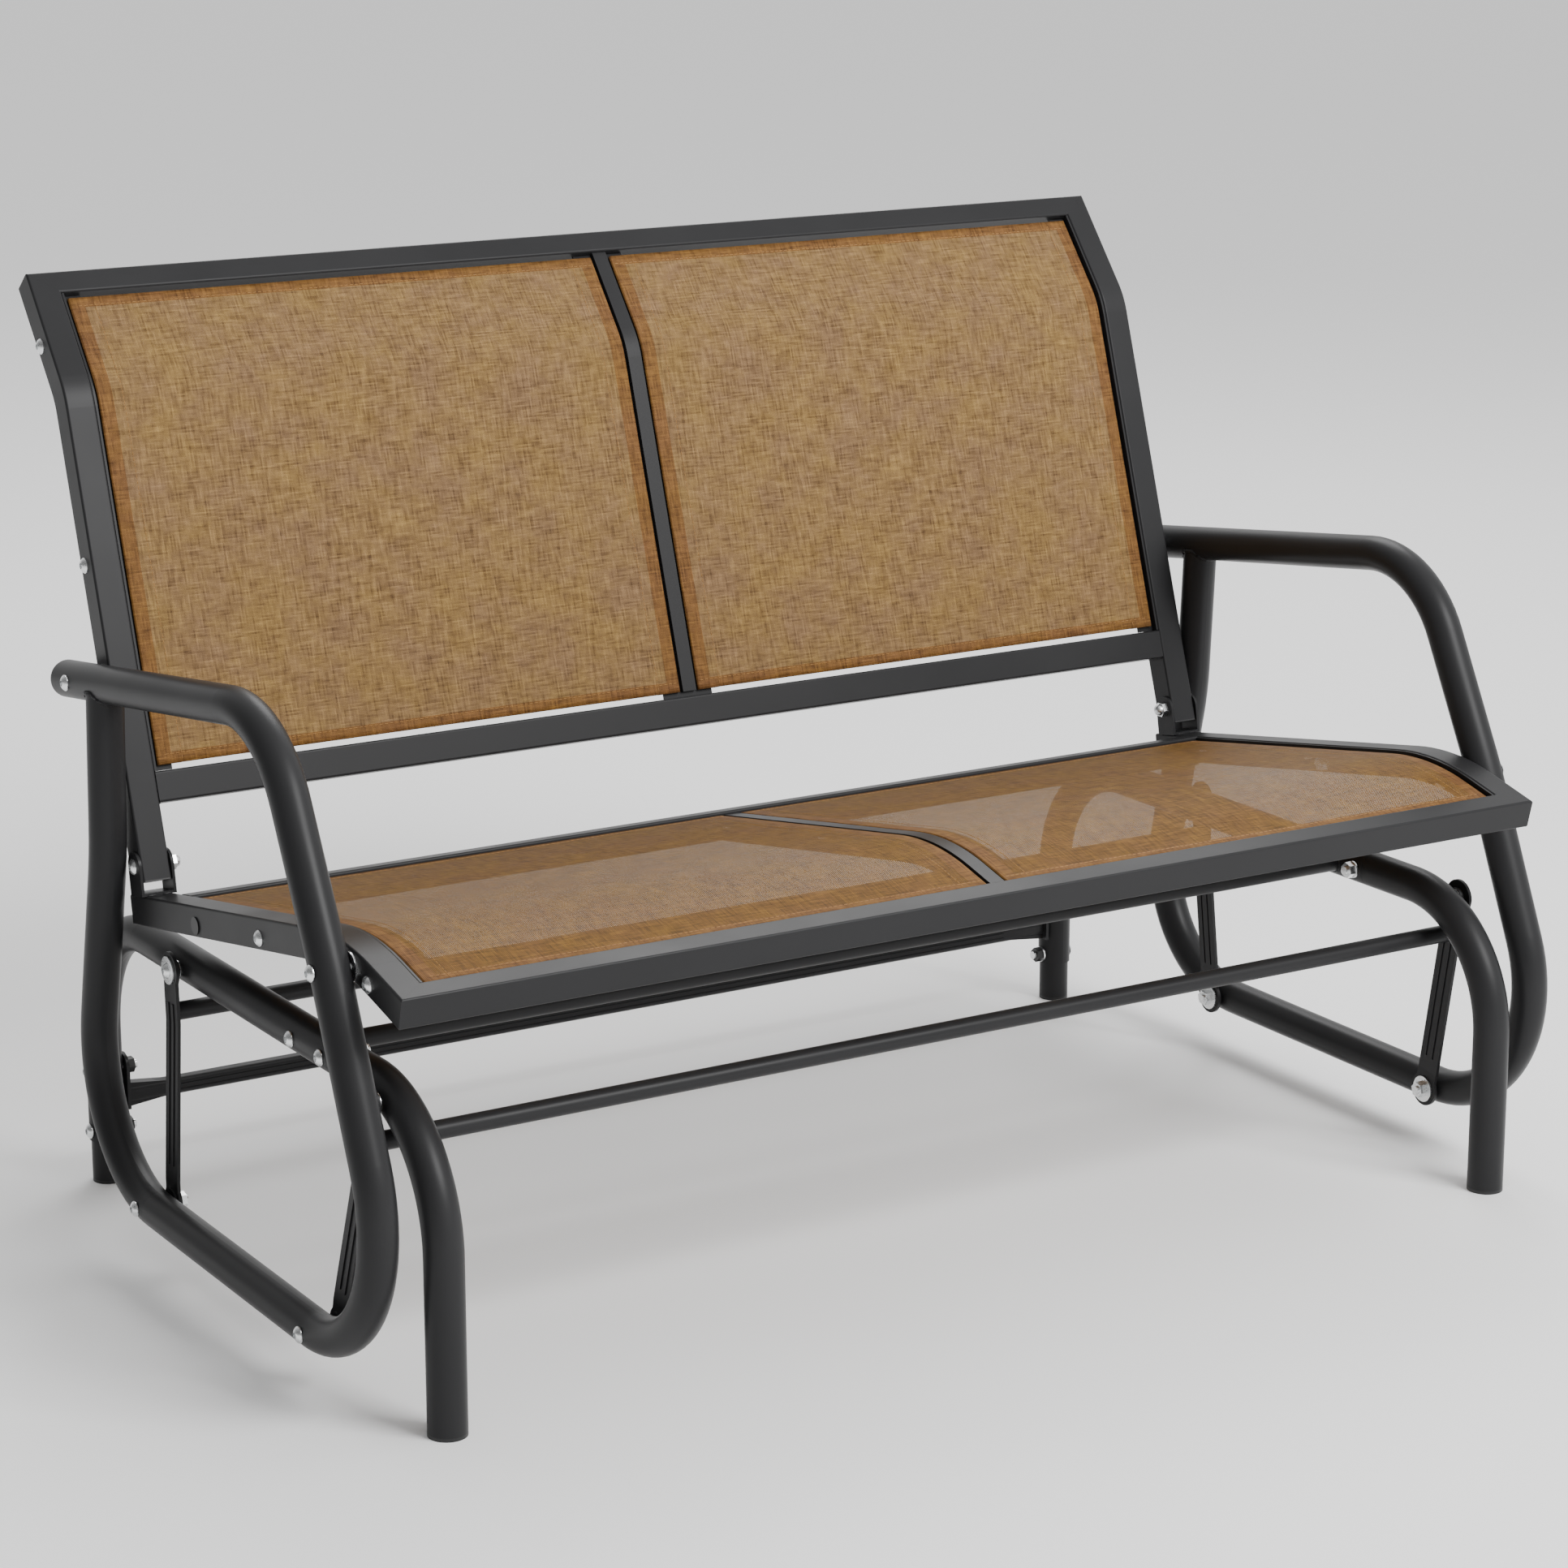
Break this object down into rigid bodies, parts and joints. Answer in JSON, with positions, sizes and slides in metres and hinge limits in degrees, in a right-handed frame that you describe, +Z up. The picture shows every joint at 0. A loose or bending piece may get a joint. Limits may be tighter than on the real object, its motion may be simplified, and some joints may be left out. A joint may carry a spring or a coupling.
{
  "type": "patio glider",
  "caption": "Two-seat sling bench whose seat, back and arm loops swing on four links under a bent-tube base.",
  "frame": {"origin": "floor level, centred across and from front to rear on the whole glider", "axes": "+X to the right as seen from the front, -Y towards the front, +Z up"},
  "size_m": [1.197, 0.735, 0.8298],
  "materials": {
    "coated_steel": "charcoal powder coat, satin",
    "zinc_steel": "bright zinc plating",
    "strip_steel": "galvanised",
    "black_plastic": "moulded, matt",
    "nylon": "moulded, matt",
    "sling_fabric": "woven PVC-coated polyester, open weave"
  },
  "bodies": {
    "base": {"base_rear_tube_left": "coated_steel", "base_rear_tube_right": "coated_steel", "base_front_tube_left": "coated_steel", "base_front_tube_right": "coated_steel", "rear_foot_tube_left": "coated_steel", "rear_foot_tube_right": "coated_steel", "foot_plugs": "black_plastic", "base_middle_bar": "coated_steel", "base_rear_bar": "coated_steel", "base_bolts": "zinc_steel", "base_nuts": "zinc_steel", "base_washers": "zinc_steel", "pivot_inserts": "zinc_steel", "upper_pivot_bolts": "zinc_steel", "upper_pivot_washers": "zinc_steel", "upper_pivot_bushes": "nylon"},
    "rear_swing": {"rear_link_left": "coated_steel", "rear_link_right": "coated_steel", "rear_tie_bar": "coated_steel"},
    "front_swing": {"front_link_left": "coated_steel", "front_link_right": "coated_steel", "front_tie_bar": "coated_steel"},
    "carriage": {"arm_tube_left": "coated_steel", "arm_tube_right": "coated_steel", "armrest_plugs": "black_plastic", "seat_side_rail_left": "coated_steel", "seat_side_rail_right": "coated_steel", "seat_front_rail": "coated_steel", "seat_rear_rail": "coated_steel", "seat_centre_bar": "coated_steel", "back_side_rail_left": "coated_steel", "back_side_rail_right": "coated_steel", "back_top_rail": "coated_steel", "back_lower_rail": "coated_steel", "back_centre_bar": "coated_steel", "hinge_bracket_left": "coated_steel", "hinge_bracket_right": "coated_steel", "bracket_bolts": "zinc_steel", "bracket_cap_nuts": "zinc_steel", "seat_sling_rails": "coated_steel", "back_sling_rails": "coated_steel", "seat_sling_strips": "strip_steel", "back_sling_strips": "strip_steel", "seat_sling_left": "sling_fabric", "seat_sling_right": "sling_fabric", "back_sling_left": "sling_fabric", "back_sling_right": "sling_fabric", "sling_bolts": "zinc_steel", "sling_nuts": "zinc_steel", "sling_screws": "zinc_steel", "rail_plugs": "black_plastic", "arm_bolts": "zinc_steel", "arm_nuts": "zinc_steel", "arm_spacers": "zinc_steel", "lower_pivot_bolts": "zinc_steel", "lower_pivot_bushes": "nylon", "lower_pivot_washers": "zinc_steel", "lower_pivot_nuts": "zinc_steel"}
  },
  "joints": [
    {"name": "rear_swing", "type": "hinge", "parent": "base", "child": "rear_swing", "pos_m": [0, 0.11278, 0.26026], "axis": [1, 0, 0], "range_deg": [-15, 15]},
    {"name": "carriage", "type": "hinge", "parent": "rear_swing", "child": "carriage", "pos_m": [0, 0.10277, 0.0555], "axis": [1, 0, 0], "range_deg": [-18, 18]},
    {"name": "front_swing", "type": "hinge", "parent": "base", "child": "front_swing", "pos_m": [0, -0.27422, 0.2538], "axis": [1, 0, 0], "range_deg": [-16, 16]}
  ],
  "couplings": [
    {"joint": "carriage", "follows": "rear_swing", "ratio": -1.17},
    {"joint": "front_swing", "follows": "rear_swing", "ratio": 1.03}
  ]
}
